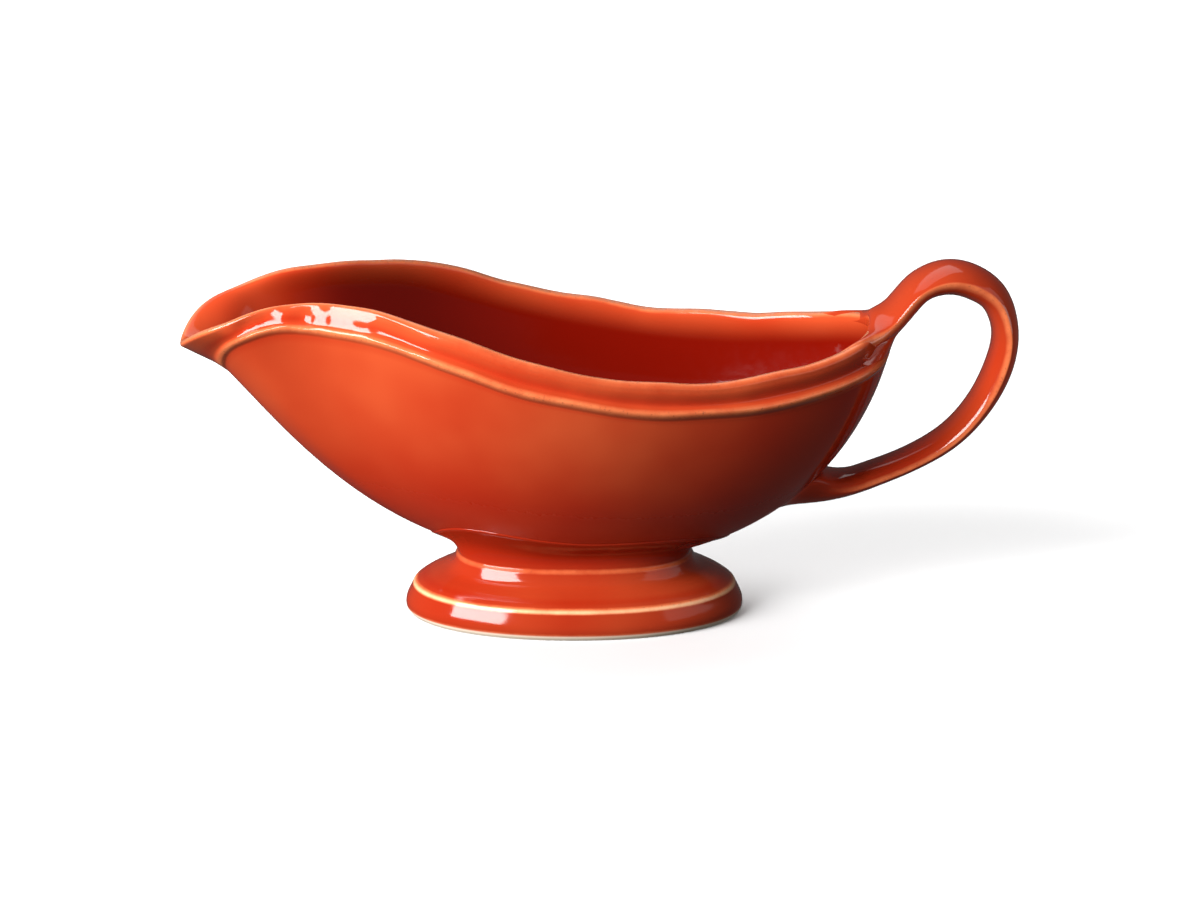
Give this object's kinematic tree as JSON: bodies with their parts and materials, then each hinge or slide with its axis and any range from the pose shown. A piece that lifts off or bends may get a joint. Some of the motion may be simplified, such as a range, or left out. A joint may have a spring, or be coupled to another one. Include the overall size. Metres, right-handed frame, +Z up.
{
  "type": "gravy boat",
  "caption": "Footed gravy boat with a long pouring lip, a beaded rim, a hollow oval foot and a strap handle, in glossy glazed stoneware.",
  "frame": {"origin": "middle of the overall box in plan, on the table that the foot stands on", "axes": "+Z up, +X from the spout to the handle, +Y across the boat"},
  "size_m": [0.2505, 0.1072, 0.1062],
  "materials": {
    "bowl_glaze": "glossy orange-red glaze, paler where it thins over edges",
    "foot_glaze": "glossy orange-red glaze, bare cream clay on the standing ring",
    "handle_glaze": "glossy orange-red glaze, paler along the edges of the strap"
  },
  "bodies": {
    "root": {"bowl": "bowl_glaze", "foot": "foot_glaze", "handle": "handle_glaze"}
  },
  "joints": []
}
